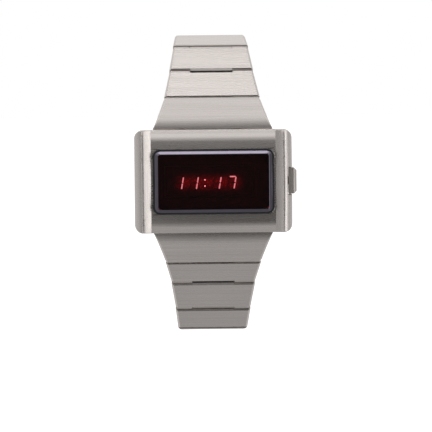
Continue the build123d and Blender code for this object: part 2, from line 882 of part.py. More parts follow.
def link_centres(index, side_name):
    """Which ends of a link have the centre knuckle: odd links both, even links neither."""
    odd = index % 2 == 0
    last = index == link_count - 1
    return odd, odd or (last and side_name == "top")


for side_name, planes, lengths in (
    ("top", top_planes, top_lengths),
    ("bottom", bottom_planes, bottom_lengths),
):
    for index, (plane, length) in enumerate(zip(planes, lengths)):
        halves = [bracelet_half_width * share for share in seam_width_shares[index : index + 2]]
        centres = link_centres(index, side_name)
        first = index == 0
        open_pivot = side_name == "bottom" and index == link_count - 1
        link = make_link(
            plane,
            length,
            halves,
            centres,
            (seams[index], seams[index + 1]),
            middle_half=bracelet_half_width * flare_width_share if first else None,
            reach=lug_reach if first else None,
            bar_end=open_pivot,
        )
        if open_pivot:
            # The open pivot's slot is deeper, so that the clasp's blade can swing out of it.
            slot_half = knuckle_half + knuckle_side_gap
            with BuildPart() as slotted_link:
                add(link.part)
                with BuildSketch(plane.offset(-link_inner - overrun)):
                    with Locations((0, length - open_pivot_room)):
                        Rectangle(
                            2 * slot_half,
                            2 * overrun + open_pivot_room,
                            align=(Align.CENTER, Align.MIN),
                        )
                extrude(amount=link_inner + link_outer + 2 * overrun, mode=Mode.SUBTRACT)
            link = slotted_link
        save(link, f"{side_name}_link_{index + 1}")
        if centres[0]:
            continue
        # Pins are fixed in the side knuckles of the even links and turn in the odd ones.
        with BuildPart() as pins:
            with BuildSketch(pin_plane(plane)):
                Circle(pin_radius)
            extrude(amount=halves[0] - pin_inset, both=True)
            if index < link_count - 1:
                with BuildSketch(pin_plane(plane, along=length)):
                    Circle(pin_radius)
                extrude(amount=halves[1] - pin_inset, both=True)
        save(pins, f"{side_name}_pins_{index + 1}")


def draw_bar(pin, tips):
    """Spring bar in a centre knuckle, with its tips out or drawn in."""
    with BuildSketch(pin) as body:
        Circle(pin_radius)
    extrude(body.sketch, amount=knuckle_half, both=True)
    if tips:
        with BuildSketch(pin) as tip:
            Circle(bar_tip_radius)
        extrude(tip.sketch, amount=bar_half_length, both=True)


with BuildPart() as case_bars:
    for planes in (top_planes, bottom_planes):
        draw_bar(pin_plane(planes[0]), tips=True)
save(case_bars, "case_bars")

# Folding clasp: a cover on the top side, and two blades folded under it that reach the
# bottom side's last link. Its plane has its origin on the cover's spring bar.
clasp_run = bottom_end - top_end
clasp_length = clasp_run.length
clasp_along = clasp_run / clasp_length
clasp_plane = Plane(origin=top_end, x_dir=(1, 0, 0), z_dir=(0, -clasp_along.Z, clasp_along.Y))
cover_hinge = clasp_length - cover_hinge_setback
bar_pin = pin_plane(clasp_plane)
hinge_pin = pin_plane(clasp_plane, along=cover_hinge, height=cover_hinge_height)
fold_pin = pin_plane(clasp_plane, along=fold_start, height=fold_height)
open_pin = pin_plane(clasp_plane, along=clasp_length)
fold_room = fold_radius + knuckle_room
side_start = knuckle_half + knuckle_side_gap
roof_top = cover_roof_height + cover_roof

with BuildPart() as clasp_cover:
    with BuildSketch(clasp_plane.offset(-cover_wall_drop)):
        with Locations((0, cover_roof_start)):
            Rectangle(
                2 * cover_half_width,
                cover_hinge - cover_roof_start,
                align=(Align.CENTER, Align.MIN),
            )
    extrude(amount=cover_wall_drop + roof_top)
    top_edges = clasp_cover.faces().sort_by(Axis(top_end, clasp_plane.z_dir))[-1].edges()
    chamfer(top_edges, length=cover_edge_break)
    with BuildSketch(clasp_plane.offset(-cover_wall_drop - overrun)):
        Rectangle(2 * (cover_half_width - cover_wall), 2 * clasp_length)
    extrude(amount=cover_wall_drop + overrun + cover_roof_height, mode=Mode.SUBTRACT)
    round_cut(hinge_pin, fold_room, [(-side_start, side_start)])
    cover_spans = spans_of(False, cover_half_width)
    add_knuckles(bar_pin, knuckle_radius, cover_roof_start + cover_edge_break, cover_spans)
    add_knuckles(hinge_pin, fold_radius, -fold_radius, cover_spans)
    bore(bar_pin, bar_tip_radius + thread_gap, bar_half_length + end_gap)
    bore(hinge_pin, fold_pin_radius + thread_gap, case_width)
save(clasp_cover, "clasp_cover")

blade_clear_sides = [
    (fold_half, blade_half_width + overrun),
    (-blade_half_width - overrun, -fold_half),
]
fold_clear = fold_half + knuckle_side_gap
outer_blade_sides = [(fold_clear, blade_half_width), (-blade_half_width, -fold_clear)]

with BuildPart() as outer_blade:
    with BuildSketch(clasp_plane.offset(outer_blade_height)):
        with Locations((0, fold_start)):
            Rectangle(
                2 * blade_half_width,
                cover_hinge - fold_start,
                align=(Align.CENTER, Align.MIN),
            )
    extrude(amount=blade_thickness)
    round_cut(fold_pin, fold_room, [(-fold_clear, fold_clear)])
    with BuildSketch(hinge_pin.offset(-blade_half_width)):
        Circle(fold_radius)
    extrude(amount=2 * blade_half_width)
    for low, high in outer_blade_sides:
        with BuildSketch(fold_pin.offset(low)):
            Circle(fold_radius)
        extrude(amount=high - low)
    bore(hinge_pin, fold_pin_radius + pin_run, case_width)
    bore(fold_pin, fold_pin_radius + thread_gap, case_width)
save(outer_blade, "outer_blade")

with BuildPart() as inner_blade:
    with BuildSketch(clasp_plane.offset(inner_blade_height)):
        with Locations((0, fold_start)):
            Rectangle(
                2 * blade_half_width,
                clasp_length - fold_start,
                align=(Align.CENTER, Align.MIN),
            )
    extrude(amount=blade_thickness)
    round_cut(fold_pin, fold_room, blade_clear_sides)
    with BuildSketch(fold_pin.offset(-fold_half)):
        Circle(fold_radius)
    extrude(amount=2 * fold_half)
    with BuildSketch(open_pin.offset(-knuckle_half)):
        Circle(knuckle_radius)
    extrude(amount=2 * knuckle_half)
    bore(fold_pin, fold_pin_radius + pin_run, case_width)
    bore(open_pin, pin_radius + pin_run, case_width)
save(inner_blade, "inner_blade")

with BuildPart() as cover_hinge_pin:
    with BuildSketch(hinge_pin):
        Circle(fold_pin_radius)
    extrude(amount=cover_half_width, both=True)
save(cover_hinge_pin, "cover_hinge_pin")

with BuildPart() as blade_fold_pin:
    with BuildSketch(fold_pin):
        Circle(fold_pin_radius)
    extrude(amount=blade_half_width, both=True)
save(blade_fold_pin, "blade_fold_pin")

with BuildPart() as cover_bar:
    draw_bar(bar_pin, tips=True)
save(cover_bar, "cover_bar")

with BuildPart() as blade_bar:
    draw_bar(open_pin, tips=False)
save(blade_bar, "blade_bar")
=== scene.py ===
import json
import math

import bmesh
import bpy
from mathutils import Matrix, Vector

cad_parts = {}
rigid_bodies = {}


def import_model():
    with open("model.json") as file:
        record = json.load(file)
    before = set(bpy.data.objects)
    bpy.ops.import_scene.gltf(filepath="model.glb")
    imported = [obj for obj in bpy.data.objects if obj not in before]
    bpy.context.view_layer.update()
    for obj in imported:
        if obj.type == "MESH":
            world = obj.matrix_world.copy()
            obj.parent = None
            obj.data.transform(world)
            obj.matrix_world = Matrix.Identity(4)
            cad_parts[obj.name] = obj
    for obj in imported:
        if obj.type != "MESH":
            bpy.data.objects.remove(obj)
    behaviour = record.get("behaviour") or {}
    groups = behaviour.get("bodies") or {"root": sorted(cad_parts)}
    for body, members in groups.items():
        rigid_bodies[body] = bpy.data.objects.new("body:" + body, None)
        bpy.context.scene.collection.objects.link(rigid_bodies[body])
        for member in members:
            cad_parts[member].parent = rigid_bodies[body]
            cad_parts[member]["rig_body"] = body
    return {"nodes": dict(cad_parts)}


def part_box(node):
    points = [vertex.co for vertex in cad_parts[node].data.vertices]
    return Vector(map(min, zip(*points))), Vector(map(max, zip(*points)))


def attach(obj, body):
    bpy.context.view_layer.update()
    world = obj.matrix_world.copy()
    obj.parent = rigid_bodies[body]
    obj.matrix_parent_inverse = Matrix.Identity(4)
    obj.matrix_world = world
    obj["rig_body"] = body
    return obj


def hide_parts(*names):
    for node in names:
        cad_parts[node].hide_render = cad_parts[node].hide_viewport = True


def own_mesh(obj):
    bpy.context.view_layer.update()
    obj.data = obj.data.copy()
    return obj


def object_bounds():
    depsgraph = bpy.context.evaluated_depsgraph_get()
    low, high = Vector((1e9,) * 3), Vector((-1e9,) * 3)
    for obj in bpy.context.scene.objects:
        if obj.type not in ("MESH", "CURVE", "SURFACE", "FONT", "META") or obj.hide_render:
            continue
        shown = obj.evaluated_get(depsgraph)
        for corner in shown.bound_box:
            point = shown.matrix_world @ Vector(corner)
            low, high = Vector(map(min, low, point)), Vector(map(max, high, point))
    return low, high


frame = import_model()
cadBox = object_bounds()
nodes = frame["nodes"]
mm = 0.001  # metres

caseLow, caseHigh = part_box("case_body")
caseCentre = (caseLow + caseHigh) / 2


def linearColour(hexColour):
    # sRGB hex to the linear numbers that a shader works in
    channels = [int(hexColour[place:place + 2], 16) / 255 for place in (1, 3, 5)]
    return [c / 12.92 if c <= 0.04045 else ((c + 0.055) / 1.055) ** 2.4 for c in channels] + [1.0]


def addNode(tree, kind, settings=None, inputs=None):
    # One node with its settings, its plain values and its links
    node = tree.nodes.new(kind)
    for name, value in (settings or {}).items():
        setattr(node, name, value)
    for name, value in (inputs or {}).items():
        if isinstance(value, bpy.types.NodeSocket):
            tree.links.new(value, node.inputs[name])
        else:
            node.inputs[name].default_value = value
    return node


def startMaterial(name):
    # An empty material, its output and the place on the watch that its patterns follow
    material = bpy.data.materials.new(name)
    material.use_nodes = True
    tree = material.node_tree
    tree.nodes.clear()
    output = addNode(tree, "ShaderNodeOutputMaterial")
    place = addNode(tree, "ShaderNodeTexCoord").outputs["Object"]
    return material, tree, output, place


# Steel. Satin stainless steel is brushed with abrasive belts: fine parallel lines that
# smear a reflection across themselves, so a flat face looks like soft bands of grey.
steelLook = {
    "light": "#E0D9D5",
    "dark": "#D4CDC8",
    "lineMm": 0.20,  # coarser than a real belt's lines, so that they show in the render
    "streakMm": 32.0,
    "bandMm": 1.6,
    "bandStretch": 3,
    "bandShare": 0.35,
    "grainRoughness": 0.6,
    "grainRange": (0.3, 0.7),
    "roughness": 0.27,
    "roughnessSpread": 0.06,
    "anisotropy": 0.75,
    "reliefMm": 0.0008,
    "reliefStrength": 0.5,
}


def brushedSteel(name, along, light=steelLook["light"], dark=steelLook["dark"]):
    # Stainless steel brushed along one axis, given as a unit vector
    look = steelLook
    material, tree, output, place = startMaterial(name)
    lines, bands, streaks = (1 / (look[key] * mm) for key in ("lineMm", "bandMm", "streakMm"))
    fine = [streaks if share else lines for share in along]
    broad = [streaks / look["bandStretch"] if share else bands for share in along]
    grains = []
    for scale, detail in ((fine, 3.0), (broad, 2.0)):
        spread = addNode(tree, "ShaderNodeMapping", inputs={"Vector": place, "Scale": scale})
        grain = addNode(
            tree, "ShaderNodeTexNoise",
            inputs={
                "Vector": spread.outputs[0],
                "Scale": 1.0,
                "Detail": detail,
                "Roughness": look["grainRoughness"],
            },
        )
        grains.append(grain.outputs["Fac"])
    both = addNode(
        tree, "ShaderNodeMix", inputs={0: look["bandShare"], 2: grains[0], 3: grains[1]}
    )
    lowest, highest = look["grainRange"]
    spreadOut = addNode(
        tree, "ShaderNodeMapRange",
        inputs={"Value": both.outputs[0], "From Min": lowest, "From Max": highest},
    )
    colour = addNode(
        tree, "ShaderNodeMix", {"data_type": "RGBA"},
        {0: spreadOut.outputs[0], 6: linearColour(dark), 7: linearColour(light)},
    )
    rough = addNode(
        tree, "ShaderNodeMapRange",
        inputs={
            "Value": spreadOut.outputs[0],
            "To Min": look["roughness"] + look["roughnessSpread"] / 2,
            "To Max": look["roughness"] - look["roughnessSpread"] / 2,
        },
    )
    relief = addNode(
        tree, "ShaderNodeBump",
        inputs={
            "Height": grains[0],
            "Strength": look["reliefStrength"],
            "Distance": look["reliefMm"] * mm,
        },
    )
    direction = addNode(tree, "ShaderNodeCombineXYZ", inputs=dict(enumerate(along)))
    shader = addNode(
        tree, "ShaderNodeBsdfPrincipled",
        inputs={
            "Base Color": colour.outputs[2],
            "Metallic": 1.0,
            "Roughness": rough.outputs[0],
            "Anisotropic": look["anisotropy"],
            "Anisotropic Rotation": 0.25,  # a quarter turn: the smear runs across the lines
            "Tangent": direction.outputs[0],
            "Normal": relief.outputs[0],
        },
    )
    tree.links.new(shader.outputs[0], output.inputs["Surface"])
    return material


# Every finish below is a light and a dark colour, a roughness, and the size in mm of
# its marks or of its grain.

# Bright metal: turned, drawn, rolled or plated. It is nearly a mirror, with uneven
# handling marks that vary its colour and its gloss.
brightLook = {"markDetail": 4.0, "markDistortion": 1.5, "smoothest": 0.6, "roughest": 1.4}


def polishedMetal(name, finish):
    light, dark, roughness, markMm = finish
    look = brightLook
    material, tree, output, place = startMaterial(name)
    marks = addNode(
        tree, "ShaderNodeTexNoise",
        inputs={
            "Vector": place,
            "Scale": 1 / (markMm * mm),
            "Detail": look["markDetail"],
            "Distortion": look["markDistortion"],
        },
    )
    colour = addNode(
        tree, "ShaderNodeMix", {"data_type": "RGBA"},
        {0: marks.outputs["Fac"], 6: linearColour(dark), 7: linearColour(light)},
    )
    rough = addNode(
        tree, "ShaderNodeMapRange",
        inputs={
            "Value": marks.outputs["Fac"],
            "To Min": roughness * look["smoothest"],
            "To Max": roughness * look["roughest"],
        },
    )
    shader = addNode(
        tree, "ShaderNodeBsdfPrincipled",
        inputs={"Base Color": colour.outputs[2], "Metallic": 1.0, "Roughness": rough.outputs[0]},
    )
    tree.links.new(shader.outputs[0], output.inputs["Surface"])
    return material


# Plastic, rubber, ceramic and lacquer: one colour with a fine moulded or fired grain
mouldLook = {
    "ior": 1.5,
    "grainDetail": 5.0,
    "grainRoughness": 0.65,
    "reliefMm": 0.004,
    "reliefStrength": 0.4,
}


def mouldedSurface(name, finish):
    light, dark, roughness, grainMm = finish
    look = mouldLook
    material, tree, output, place = startMaterial(name)
    grain = addNode(
        tree, "ShaderNodeTexNoise",
        inputs={
            "Vector": place,
            "Scale": 1 / (grainMm * mm),
            "Detail": look["grainDetail"],
            "Roughness": look["grainRoughness"],
        },
    )
    colour = addNode(
        tree, "ShaderNodeMix", {"data_type": "RGBA"},
        {0: grain.outputs["Fac"], 6: linearColour(dark), 7: linearColour(light)},
    )
    relief = addNode(
        tree, "ShaderNodeBump",
        inputs={
            "Height": grain.outputs["Fac"],
            "Strength": look["reliefStrength"],
            "Distance": look["reliefMm"] * mm,
        },
    )
    shader = addNode(
        tree, "ShaderNodeBsdfPrincipled",
        inputs={
            "Base Color": colour.outputs[2],
            "Roughness": roughness,
            "IOR": look["ior"],
            "Normal": relief.outputs[0],
        },
    )
    tree.links.new(shader.outputs[0], output.inputs["Surface"])
    return material


# Edges: a softened copy welds and flattens the CAD faces, then rounds what is sharp
softening = {
    "weldMm": 0.0005,
    "flatDegrees": 0.5,
    "sharpDegrees": 24,
    "smoothDegrees": 35,
    "segments": 2,
}


def softenedCopy(node, pieceName, radiusMm, edgeSlot=1, flatDegrees=softening["flatDegrees"]):
    # A copy of a CAD piece with its sharp edges rounded, riding where the node rides. The
    # faces of the rounded edges take the material in edgeSlot.
    mesh = nodes[node].data.copy()
    mesh.name = pieceName
    work = bmesh.new()
    work.from_mesh(mesh)
    bmesh.ops.remove_doubles(work, verts=work.verts, dist=softening["weldMm"] * mm)
    bmesh.ops.dissolve_limit(
        work, angle_limit=math.radians(flatDegrees), verts=work.verts, edges=work.edges
    )
    sharpAngle = math.radians(softening["sharpDegrees"])
    sharp = [
        edge for edge in work.edges
        if len(edge.link_faces) == 2 and edge.calc_face_angle(0) > sharpAngle
    ]
    rounded = bmesh.ops.bevel(
        work, geom=sharp, offset=radiusMm * mm, segments=softening["segments"], profile=0.5,
        affect="EDGES", clamp_overlap=True,
    )
    for face in work.faces:
        face.material_index = 0
    for face in rounded["faces"]:
        face.material_index = edgeSlot
    work.to_mesh(mesh)
    work.free()
    mesh.shade_smooth()
    mesh.set_sharp_from_angle(angle=math.radians(softening["smoothDegrees"]))
    piece = bpy.data.objects.new(pieceName, mesh)
    bpy.context.scene.collection.objects.link(piece)
    smoothing = piece.modifiers.new("faceWeights", "WEIGHTED_NORMAL")
    smoothing.keep_sharp = True
    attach(piece, nodes[node]["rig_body"])
    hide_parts(node)
    return piece


def dress(piece, *materials):
    # Gives a piece its materials; its faces keep their slots, as far as there are so many
    slots = [face.material_index for face in piece.data.polygons]
    piece.data.materials.clear()
    for material in materials:
        piece.data.materials.append(material)
    for face, slot in zip(piece.data.polygons, slots):
        face.material_index = min(slot, len(materials) - 1)


# Edges of brushed steel wear smooth, so they catch a thin bright line
wornEdge = polishedMetal("wornSteelEdge", ("#E6E0DD", "#D2CBC7", 0.24, 0.5))


# Case: horizontally brushed cushion between two rails that are brushed upright
caseLook = {
    "railWidthMm": 4.3,
    "endSlope": 0.7,  # a rail's faces that point further up or down than this are its ends
    "edgeMm": 0.22,
    "flatDegrees": 0.02,  # keeps every facet of the curved rails
}


def makeCase():
    acrossSteel = brushedSteel("brushedSteelCushion", (1, 0, 0))  # bands of grey, top to bottom
    uprightSteel = brushedSteel("brushedSteelRails", (0, 0, 1))  # bright and dark upright stripes
    piece = softenedCopy(
        "case_body", "caseShell", caseLook["edgeMm"], edgeSlot=2,
        flatDegrees=caseLook["flatDegrees"],
    )
    dress(piece, acrossSteel, uprightSteel, wornEdge)
    railStart = caseHigh.x - caseLook["railWidthMm"] * mm
    for face in piece.data.polygons:
        onRail = abs(face.center.x) > railStart and abs(face.normal.z) < caseLook["endSlope"]
        if face.material_index == 0 and onRail:
            face.material_index = 1
    print("case shell:", len(piece.data.polygons), "faces")


makeCase()

# Crystal: dark red mineral glass. Its window passes the diodes' red light only, and the
# bevel is mirrored from below, so that it shows as a grey frame.
crystalLook = {
    "tint": "#DE8A8E",
    "ior": 1.5,
    "hazeMm": 6,
    "roughness": (0.01, 0.05),
    "bevel": ("#716C77", "#625D68", 0.06, 2.0),
    "rim": ("#0D0C0D", "#070707", 0.35, 0.5),
    "wallSlope": 0.3,  # faces turned to the front less than this are the outer wall,
    "windowSlope": 0.999,  # and faces turned to it more than this are the window
    "edgeMm": 0.10,
}


def makeCrystal():
    # Polished glass: clear and nearly black where nothing is lit behind it
    look = crystalLook
    glass, tree, output, place = startMaterial("redMineralGlass")
    haze = addNode(
        tree, "ShaderNodeTexNoise",
        inputs={"Vector": place, "Scale": 1 / (look["hazeMm"] * mm), "Detail": 2.0},
    )
    smoothest, roughest = look["roughness"]
    polish = addNode(
        tree, "ShaderNodeMapRange",
        inputs={"Value": haze.outputs["Fac"], "To Min": smoothest, "To Max": roughest},
    )
    shader = addNode(
        tree, "ShaderNodeBsdfPrincipled",
        inputs={
            "Base Color": linearColour(look["tint"]),
            "Roughness": polish.outputs[0],
            "IOR": look["ior"],
            "Transmission Weight": 1.0,
        },
    )
    tree.links.new(shader.outputs[0], output.inputs["Surface"])
    # A mirror under the bevel: bright above, where it shows the lamp, and grey elsewhere
    bevel = polishedMetal("mirroredGlassBevel", look["bevel"])
    rim = mouldedSurface("blackenedGlassRim", look["rim"])  # a black outline
    piece = softenedCopy("crystal", "windowCrystal", look["edgeMm"])
    dress(piece, glass, bevel, rim)
    for face in piece.data.polygons:
        face.material_index = 0
        if -look["windowSlope"] < face.normal.y < -look["wallSlope"]:
            face.material_index = 1
        elif abs(face.normal.y) < look["wallSlope"]:
            face.material_index = 2
    print("crystal:", len(piece.data.polygons), "faces")


makeCrystal()

# Display: black mask, dark carrier with a painted faint red glow, lit and unlit strokes
displayLook = {
    "mask": ("#040304", "#010101", 0.6, 0.3),
    "unlit": ("#5A1218", "#3A0A10", 0.3, 0.2),
    "lit": "#FFDDE4",
    "resin": "#701018",
    "resinRoughness": 0.3,
    "chipMm": 0.5,
    "litStrength": 1.15,
    "unevenness": 0.3,
    "colonShare": 2.1,  # the small dots look as bright as the long strokes
    "colonXMm": -2.3,
    "colonReachMm": 0.35,
    "carrier": "#0C0506",
    "carrierRoughness": 0.45,
    # Painted glow: red emission on the carrier round the figures, which is no lamp
    "paintedGlow": "#B00C18",
    "paintedGlowStrength": 1.3,
    "paintedGlowReachMm": 2.4,
    "dotPitchMm": 0.62,  # just over two pixels of the frame, so the dots are faint in it
    "dotScatter": 0.7,
    "dotEdge": (0.12, 0.32),
    "betweenDots": 0.18,
}


def litDiode(name, strength):
    # Diode chips under clear resin: pinkish light, brighter where a chip sits
    look = displayLook
    material, tree, output, place = startMaterial(name)
    ripple = addNode(
        tree, "ShaderNodeTexNoise",
        inputs={"Vector": place, "Scale": 1 / (look["chipMm"] * mm), "Detail": 2.0},
    )
    power = addNode(
        tree, "ShaderNodeMapRange",
        inputs={
            "Value": ripple.outputs["Fac"],
            "To Min": strength * (1 - look["unevenness"]),
            "To Max": strength * (1 + look["unevenness"]),
        },
    )
    shader = addNode(
        tree, "ShaderNodeBsdfPrincipled",
        inputs={
            "Base Color": linearColour(look["resin"]),
            "Roughness": look["resinRoughness"],
            "Emission Color": linearColour(look["lit"]),
            "Emission Strength": power.outputs[0],
        },
    )
    tree.links.new(shader.outputs[0], output.inputs["Surface"])
    return material


def paintedGlowCarrier():
    # Dark ceramic under a painted glow: a speckled red emission round the figures stands in for
    # the diodes' light on the carrier, and fades out over the glow's reach given in mm
    look = displayLook
    material, tree, output, place = startMaterial("darkCarrierPaintedGlow")
    low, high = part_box("lit_strokes")
    centre = (low + high) / 2
    half = (high - low) / 2
    reach = look["paintedGlowReachMm"] * mm
    moved = addNode(
        tree, "ShaderNodeVectorMath", {"operation": "SUBTRACT"}, {0: place, 1: centre}
    )
    sides = addNode(tree, "ShaderNodeVectorMath", {"operation": "ABSOLUTE"}, {0: moved.outputs[0]})
    spans = addNode(tree, "ShaderNodeSeparateXYZ", inputs={0: sides.outputs[0]}).outputs
    fades = [
        addNode(
            tree, "ShaderNodeMapRange", {"interpolation_type": "SMOOTHSTEP"},
            {"Value": span, "From Min": inner, "From Max": outer, "To Min": 1.0, "To Max": 0.0},
        ).outputs[0]
        for span, inner, outer in (
            (spans["X"], half.x - reach / 2, half.x + reach),
            (spans["Z"], half.z - reach, half.z + reach / 2),
        )
    ]
    fade = addNode(tree, "ShaderNodeMath", {"operation": "MULTIPLY"}, dict(enumerate(fades)))
    dots = addNode(
        tree, "ShaderNodeTexVoronoi",
        inputs={
            "Vector": place,
            "Scale": 1 / (look["dotPitchMm"] * mm),
            "Randomness": look["dotScatter"],
        },
    )
    inner, outer = look["dotEdge"]
    specks = addNode(
        tree, "ShaderNodeMapRange",
        inputs={
            "Value": dots.outputs["Distance"],
            "From Min": inner,
            "From Max": outer,
            "To Min": 1.0,
            "To Max": look["betweenDots"],
        },
    )
    paintedGlow = addNode(
        tree, "ShaderNodeMath", {"operation": "MULTIPLY"},
        {0: fade.outputs[0], 1: specks.outputs[0]},
    )
    strength = addNode(
        tree, "ShaderNodeMath", {"operation": "MULTIPLY"},
        {0: paintedGlow.outputs[0], 1: look["paintedGlowStrength"]},
    )
    # The carrier emits the painted glow, though it is no lamp
    shader = addNode(
        tree, "ShaderNodeBsdfPrincipled",
        inputs={
            "Base Color": linearColour(look["carrier"]),
            "Roughness": look["carrierRoughness"],
            "Emission Color": linearColour(look["paintedGlow"]),
            "Emission Strength": strength.outputs[0],
        },
    )
    tree.links.new(shader.outputs[0], output.inputs["Surface"])
    return material


def makeDisplay():
    look = displayLook
    mask = mouldedSurface("blackLacqueredMask", look["mask"])  # flat black, hides the rest
    dress(nodes["display_mask"], mask)
    litStrokes = litDiode("litRedDiode", look["litStrength"])
    litDots = litDiode("litRedColon", look["litStrength"] * look["colonShare"])
    strokes = nodes["lit_strokes"]
    dress(strokes, litStrokes, litDots)
    colonCentre, colonReach = look["colonXMm"] * mm, look["colonReachMm"] * mm
    for face in strokes.data.polygons:
        face.material_index = int(abs(face.center.x - colonCentre) < colonReach)
    unlit = mouldedSurface("unlitRedDiode", look["unlit"])  # dull red, barely seen
    dress(nodes["dark_strokes"], unlit)
    dress(nodes["display_carrier"], paintedGlowCarrier())
    print("display dressed")


makeDisplay()

# Bracelet: every link is brushed straight across, with lightly broken edges
braceletLook = {
    "pins": ("#D9D5D2", "#B5B0AD", 0.28, 0.6),
    "edgeMm": 0.12,
    # The next two entries paint shade: a matt brown black on the open seam where its shadow falls,
    # and the share of the tongue that it covers
    "seamShade": ("#2C2623", "#14110F", 0.9, 0.3),
    "seamShadeShare": 0.5,
    "tongueSlope": 0.93,
    "cutMm": 0.0001,
}


def paintSeamShade(piece):
    # Painted shade: the foot of the third link's sloped tongue, where it meets the second link,
    # gets a dark matt material in place of the shadow in the open seam, a dark line along it. The
    # foot is the end nearer to the case.
    look = braceletLook
    work = bmesh.new()
    work.from_mesh(piece.data)
    slope = max(
        (face for face in work.faces if face.normal.y < -look["tongueSlope"]),
        key=lambda face: face.calc_area(),
    )
    heights = sorted((point.co.z for point in slope.verts), key=abs)
    cut = heights[0] + (heights[-1] - heights[0]) * look["seamShadeShare"]
    parts = bmesh.ops.bisect_plane(
        work, geom=[slope, *slope.edges, *slope.verts], dist=look["cutMm"] * mm,
        plane_co=(0, 0, cut), plane_no=(0, 0, 1),
    )
    for face in parts["geom"]:
        if isinstance(face, bmesh.types.BMFace):
            face.material_index = 2 if abs(face.calc_center_median().z) < abs(cut) else 0
    work.to_mesh(piece.data)
    work.free()


def makeBracelet():
    look = braceletLook
    steel = brushedSteel("brushedSteelLinks", (1, 0, 0))  # each link one soft grey
    pinSteel = polishedMetal("drawnSteelPins", look["pins"])  # a dull round gleam
    # Painted shade for the open seam: a matt brown black in place of its shadow
    seamShade = mouldedSurface("paintedSeamShade", look["seamShade"])  # matt brown black
    for node in sorted(nodes):
        if "_link_" in node:
            side, place = node.split("_link_")
            piece = softenedCopy(node, side + "Link" + place, look["edgeMm"])
            if place == "3":
                # The third link's open seam gets painted shade
                paintSeamShade(piece)
            dress(piece, steel, wornEdge, seamShade)
        elif "_pins_" in node:
            dress(nodes[node], pinSteel)
    dress(nodes["case_bars"], pinSteel)
    print("bracelet dressed")


makeBracelet()

# Clasp: brushed cover over two polished blades
claspLook = {
    "edgeMm": 0.14,
    "blades": ("#E2DEDB", "#C6C1BE", 0.16, 3.0),
    "bladeEdgeMm": 0.10,
    "pins": ("#D9D5D2", "#B5B0AD", 0.25, 0.6),
}


def makeClasp():
    look = claspLook
    coverSteel = brushedSteel("brushedSteelCover", (1, 0, 0))  # matches the links
    bladeSteel = polishedMetal("polishedSteelBlades", look["blades"])  # a soft mirror
    pinSteel = polishedMetal("turnedSteelPins", look["pins"])  # duller than the blades
    cover = softenedCopy("clasp_cover", "claspCover", look["edgeMm"])
    dress(cover, coverSteel, wornEdge)
    for node, pieceName in (("outer_blade", "outerBlade"), ("inner_blade", "innerBlade")):
        blade = softenedCopy(node, pieceName, look["bladeEdgeMm"])
        dress(blade, bladeSteel, wornEdge)
    for node in ("cover_hinge_pin", "blade_fold_pin", "cover_bar", "blade_bar"):
        dress(nodes[node], pinSteel)
    print("clasp dressed")


makeClasp()

# Push-button and case back
outerLook = {
    "buttonEdgeMm": 0.18,
    "buttonLight": "#E2DAD3",  # a little warmer than the case
    "buttonDark": "#C6BEB7",
    "backEdgeMm": 0.12,
    "turned": ("#D6D2CF", "#B8B3B0", 0.22, 0.6),
}


def makeButtonAndBack():
    look = outerLook
    buttonSteel = brushedSteel(
        "brushedSteelButton", (0, 0, 1), light=look["buttonLight"], dark=look["buttonDark"]
    )
    backSteel = brushedSteel("brushedSteelBack", (0, 0, 1))  # plain upright lines
    button = softenedCopy("push_button", "pushButton", look["buttonEdgeMm"])
    dress(button, buttonSteel, wornEdge)
    back = softenedCopy("case_back", "caseBack", look["backEdgeMm"])
    dress(back, backSteel, wornEdge)
    turned = polishedMetal("turnedSteel", look["turned"])  # small bright glints
    for node in ("back_screws", "button_bush", "button_clip"):
        dress(nodes[node], turned)
    print("button and back dressed")


makeButtonAndBack()


def makePressSpring(springSteel):
    # A copy of the spring with a mesh of its own, riding with the spring's body; the real spring
    # shortens between the case and the button as the button goes in
    coil = bpy.data.objects.new("pressSpring", nodes["button_spring"].data.copy())
    bpy.context.scene.collection.objects.link(coil)
    dress(coil, springSteel)
    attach(coil, nodes["button_spring"]["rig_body"])
    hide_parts("button_spring")
    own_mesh(coil)


# Springs and everything inside the case
insideLook = {
    "springSteel": ("#C9C6C2", "#A5A19C", 0.2, 0.6),  # drawn wire and strip, a cool gleam
    "giltContact": ("#E3BE6C", "#C79A45", 0.18, 0.6),  # gold plating, yellow and bright
    "nickelledCells": ("#D4D2CB", "#B4B1A9", 0.3, 1.2),  # pressed cups, dull and pale
    "nickelSilverCan": ("#CFC9BB", "#ABA594", 0.25, 0.6),  # faintly yellow
    "blackSealRubber": ("#1B1B1C", "#101011", 0.75, 0.2),  # matt black
    "greenGlassLaminate": ("#2F5B35", "#1E4225", 0.4, 0.35),  # woven glass under green resin
    "creamAcetal": ("#D8CFB8", "#C4BAA0", 0.55, 0.4),  # waxy moulded plastic
    "blackChipCeramic": ("#2E2B2A", "#1D1B1A", 0.6, 0.15),  # dry and even
    "amberTrimmerPlastic": ("#B28848", "#8C6630", 0.3, 0.3),  # glossy and warm
}


def makeSmallParts():
    springSteel = polishedMetal("springSteel", insideLook["springSteel"])
    dress(nodes["battery_strap"], springSteel)
    makePressSpring(springSteel)
    for node, name in (
        ("switch_contact", "giltContact"),
        ("battery_cells", "nickelledCells"),
        ("quartz_can", "nickelSilverCan"),
    ):
        dress(nodes[node], polishedMetal(name, insideLook[name]))
    for name, places in (
        ("blackSealRubber", ("crystal_gasket", "back_seal", "button_o_ring")),
        ("greenGlassLaminate", ("circuit_board",)),
        ("creamAcetal", ("module_frame",)),
        ("blackChipCeramic", ("timing_chip", "driver_chip")),
        ("amberTrimmerPlastic", ("trimmer",)),
    ):
        surface = mouldedSurface(name, insideLook[name])
        for node in places:
            dress(nodes[node], surface)
    print("small parts dressed")


makeSmallParts()

